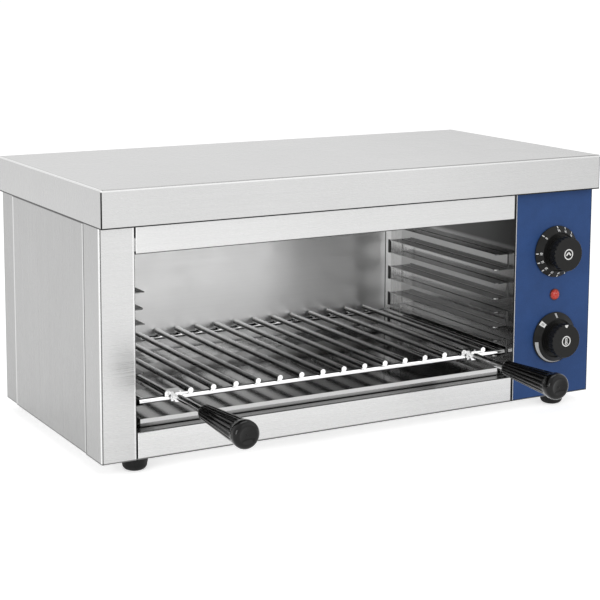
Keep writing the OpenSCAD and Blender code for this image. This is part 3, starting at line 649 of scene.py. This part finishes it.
def fluted_grip(hand):
    """A reeded, tapered grip with a plain collar, a rounded rim and a dished end with a pip."""
    node = f"handle_grip_{hand}"
    lo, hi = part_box(node)
    centre = middle(node)
    length, end_r = (hi.y - lo.y) / MM, (hi.x - lo.x) / 2 / MM
    start_r, bore_r, collar, rim, dish = 8.25, 3.6, 12, 5, 2
    flutes, depth, per_flute = 16, 1.0, 12
    edge, step_r, step_l, run_in, run_out, rows = 1, 1, 2, 3, 4, 20
    pip = ((1.5, 0.1), (1.1, 0.7), (0.5, 1))
    reeded = length - collar
    face_r = end_r - rim
    outline = [(bore_r, 0), (start_r - edge, 0), (start_r - 0.3, 0.3), (start_r, edge)]
    outline += [(start_r + (end_r - step_r - start_r) * k / rows, reeded * k / rows)
                for k in range(1, rows + 1)]
    outline += [(end_r, reeded + step_l), (end_r, length - rim)]
    outline += [(face_r + rim * math.cos(a), length - rim + rim * math.sin(a))
                for a in (math.radians(15 * k) for k in range(1, 7))]
    outline += [(face_r * k, length - dish * (1 - k * k)) for k in (0.93, 0.75, 0.5, 0.25)]
    outline += [(r, length - dish + rise) for r, rise in pip]
    bm = bmesh.new()
    turns = flutes * per_flute
    rings = []
    for r, h in outline:
        fade = (min(1, max(0, (h - edge) / run_in))
                * min(1, max(0, (reeded - edge - h) / run_out)))
        ring = []
        for i in range(turns):
            a = 2 * math.pi * i / turns
            groove = (0.5 + 0.5 * math.cos(flutes * a)) ** 2
            out = (r - depth * fade * groove) * MM
            ring.append(bm.verts.new((centre.x + out * math.cos(a), hi.y - h * MM,
                                      centre.z + out * math.sin(a))))
        rings.append(ring)
    for a, b in zip(rings, rings[1:]):
        for i in range(turns):
            n = (i + 1) % turns
            bm.faces.new((a[i], a[n], b[n], b[i]))
    tip = bm.verts.new((centre.x, hi.y - (length - dish + pip[-1][1]) * MM, centre.z))
    seat = [bm.verts.new((v.co.x, hi.y - reeded * MM, v.co.z)) for v in rings[0]]
    for i in range(turns):
        n = (i + 1) % turns
        bm.faces.new((rings[-1][i], rings[-1][n], tip))
        bm.faces.new((rings[0][n], rings[0][i], seat[i], seat[n]))
    bm.faces.new(seat)
    obj = piece(f"{node}_reeded", bm, "grip", "rack", smooth=True)
    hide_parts(node)


def cross(bm, centre, reach, half_width, depth):
    """A prism along Y with a cross as its outline, as deep on either side of its centre."""
    outline = []
    for quarter in range(4):
        for x, z in ((reach, -half_width), (reach, half_width), (half_width, half_width)):
            for _ in range(quarter):
                x, z = -z, x
            outline.append((x, z))
    near = [bm.verts.new(centre + Vector((x, -depth, z)) * MM) for x, z in outline]
    far = [bm.verts.new(centre + Vector((x, depth, z)) * MM) for x, z in outline]
    bm.faces.new(near)
    bm.faces.new(far)
    for i in range(len(outline)):
        n = (i + 1) % len(outline)
        bm.faces.new((near[i], near[n], far[n], far[i]))


def cut_out(obj, tool_bm):
    """Cuts a tool's shape out of a piece's mesh, and stops where nothing would be left."""
    bmesh.ops.recalc_face_normals(tool_bm, faces=tool_bm.faces)
    mesh = bpy.data.meshes.new("tool")
    tool_bm.to_mesh(mesh)
    tool_bm.free()
    tool = bpy.data.objects.new("tool", mesh)
    bpy.context.scene.collection.objects.link(tool)
    cutter = obj.modifiers.new("cut", "BOOLEAN")
    cutter.object = tool
    cutter.solver = "EXACT"
    result = bpy.data.meshes.new_from_object(
        obj.evaluated_get(bpy.context.evaluated_depsgraph_get()))
    if not result.polygons:
        raise RuntimeError(f"cutting {obj.name} left nothing of it")
    obj.modifiers.clear()
    obj.data = result
    bpy.data.objects.remove(tool)
    bpy.data.meshes.remove(mesh)


def pan_screws(node, count):
    """Cross-headed pan screws in a row along X, with plain shanks."""
    lo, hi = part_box(node)
    head_r, head_h, dome_h, shank_r = 3.75, 2.4, 1.4, 2.0
    length = (hi.y - lo.y) / MM
    z = (lo.z + hi.z) / 2
    first, last = lo.x + head_r * MM, hi.x - head_r * MM
    dome = [(head_r * math.cos(a), head_h - dome_h + dome_h * math.sin(a))
            for a in (math.radians(v) for v in range(0, 90, 15))]
    bm, tools = bmesh.new(), bmesh.new()
    for i in range(count):
        x = first + (last - first) * i / (count - 1)
        seat = Vector((x, hi.y - head_h * MM, z))
        shank = head_h - length
        lathe(bm, [(0, shank), (shank_r - 0.4, shank), (shank_r, shank + 0.6), (shank_r, 0),
                   (head_r, 0)] + dome + [(0, head_h)], seat, (0, 1, 0))
        cross(tools, Vector((x, hi.y, z)), reach=2.1, half_width=0.45, depth=1.3)
    obj = piece(f"{node}_heads", bm, "screw", "chassis")
    cut_out(obj, tools)
    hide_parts(node)


def faceted_lens():
    """A domed signal lens: a flange, then rings of facets that alternate in height."""
    lo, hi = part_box("lamp_lens")
    centre = middle("lamp_lens")
    flange_r, dome_r, height = (hi.x - lo.x) / 2 / MM, 5.7, (hi.y - lo.y) / MM
    seat, facets, rings, bevel, dip = 1.1, 12, 4, 0.3, 0.35
    outline = [(flange_r, 0), (flange_r, seat - bevel), (flange_r - bevel, seat), (dome_r, seat)]
    bm = bmesh.new()
    base = bm.verts.new((centre.x, hi.y, centre.z))
    loops = []
    for k in range(len(outline) + rings):
        loop = []
        for i in range(2 * facets):
            if k < len(outline):
                r, h = outline[k]
            else:
                a = math.radians(90 * (k - len(outline) + 1) / (rings + 1))
                dent = dip if (i + k) % 2 else 0
                r = (dome_r - dent) * math.cos(a)
                h = seat + (height - seat - dent) * math.sin(a)
            turn = math.pi * i / facets
            loop.append(bm.verts.new((centre.x + r * MM * math.cos(turn), hi.y - h * MM,
                                      centre.z + r * MM * math.sin(turn))))
        loops.append(loop)
    tip = bm.verts.new((centre.x, lo.y, centre.z))
    for i in range(2 * facets):
        n = (i + 1) % (2 * facets)
        bm.faces.new((base, loops[0][i], loops[0][n]))
        bm.faces.new((tip, loops[-1][n], loops[-1][i]))
        for a, b in zip(loops, loops[1:]):
            bm.faces.new((a[i], a[n], b[n], b[i]))
    obj = piece("lamp_lens_cut", bm, "lens", "chassis")
    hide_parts("lamp_lens")


timer_print()
thermostat_print()
faceted_lens()
rack_welds()
for hand in ("left", "right"):
    fluted_grip(hand)
pan_screws("rear_screws", 3)
pan_screws("lid_screws", 3)


# ---- Stage, light and camera ----

def seen(g):
    """1 on camera, glossy and transmission rays, else 0."""
    path = g.node("LightPath")
    total = path.outputs["Is Camera Ray"]
    for name in ("Is Glossy Ray", "Is Transmission Ray"):
        total = g.math("MAXIMUM", total, path.outputs[name])
    return total


def stage_floor():
    """A pale floor that glows to white where it is seen or mirrored, and keeps its shadows."""
    mesh = bpy.data.meshes.new("studio_floor")
    half = 30.0
    corners = [(-half, -half, 0), (half, -half, 0), (half, half, 0), (-half, half, 0)]
    mesh.from_pydata(corners, [], [(0, 1, 2, 3)])
    floor = bpy.data.objects.new("studio_floor", mesh)
    bpy.context.scene.collection.objects.link(floor)
    g = Graph(bpy.data.materials.new("studio_floor"))
    g.set(Base_Color=(0.86, 0.86, 0.86, 1), Roughness=0.9)
    g.shader.inputs["Specular IOR Level"].default_value = 0.1
    glow = g.node("Emission", Strength=0.56)
    add = g.node("AddShader")
    g.link(g.shader.outputs[0], add.inputs[0])
    g.link(glow.outputs[0], add.inputs[1])
    mix = g.node("MixShader")
    g.link(seen(g), mix.inputs[0])
    g.link(g.shader.outputs[0], mix.inputs[1])
    g.link(add.outputs[0], mix.inputs[2])
    g.link(mix.outputs[0], g.nodes["Material Output"].inputs["Surface"])
    mesh.materials.append(g.owner)


def studio_world():
    """An even sky: white where it is seen or mirrored, and dimmer where it only lights."""
    world = bpy.data.worlds.new("studio")
    bpy.context.scene.world = world
    g = Graph(world)
    back = g.nodes["Background"]
    back.inputs["Color"].default_value = (1, 1, 1, 1)
    g.link(g.span(seen(g), 0, 1, 0.55, 1.0), back.inputs["Strength"])


def softbox(name, at, aim, size, power):
    light = bpy.data.lights.new(name, "AREA")
    light.shape = "RECTANGLE"
    light.size, light.size_y = size
    light.energy = power
    lamp = bpy.data.objects.new(name, light)
    lamp.location = at
    lamp.rotation_euler = (Vector(aim) - Vector(at)).to_track_quat("-Z", "Y").to_euler()
    bpy.context.scene.collection.objects.link(lamp)


def camera():
    """The camera, as fitted to points of the object. horizon_row is a row of the 600 x 600
    frame, and focal is in its pixels."""
    place = Vector((-0.8982, -1.5509, 0.5188))
    azimuth, elevation, roll = (math.radians(v) for v in (-29.07, 8.449, 0.226))
    back = Vector((math.sin(azimuth) * math.cos(elevation),
                   -math.cos(azimuth) * math.cos(elevation), math.sin(elevation)))
    right = Vector((math.cos(azimuth), math.sin(azimuth), 0))
    up = back.cross(right)
    x = math.cos(roll) * right + math.sin(roll) * up
    y = -math.sin(roll) * right + math.cos(roll) * up
    frame_size, focal, horizon_row = 600, 1648.1, 195
    data = bpy.data.cameras.new("camera")
    data.sensor_width = 36
    data.lens = focal / frame_size * data.sensor_width
    data.shift_y = (horizon_row - frame_size / 2) / frame_size
    cam = bpy.data.objects.new("camera", data)
    turn = Matrix((x, y, back)).transposed().to_4x4()
    cam.matrix_world = Matrix.Translation(place) @ turn
    bpy.context.scene.collection.objects.link(cam)
    bpy.context.scene.camera = cam


stage_floor()
studio_world()
softbox("key", (1.3, -2.4, 1.9), (0, 0, 0.15), (4.2, 3.4), 26)
softbox("left_card", (-2.0, -1.3, 0.62), (0, 0, 0.15), (0.8, 1.0), 14)
softbox("top", (0.1, 0.4, 2.4), (0, 0, 0.2), (1.6, 1.2), 10)
camera()
bpy.context.scene.view_settings.view_transform = "Standard"
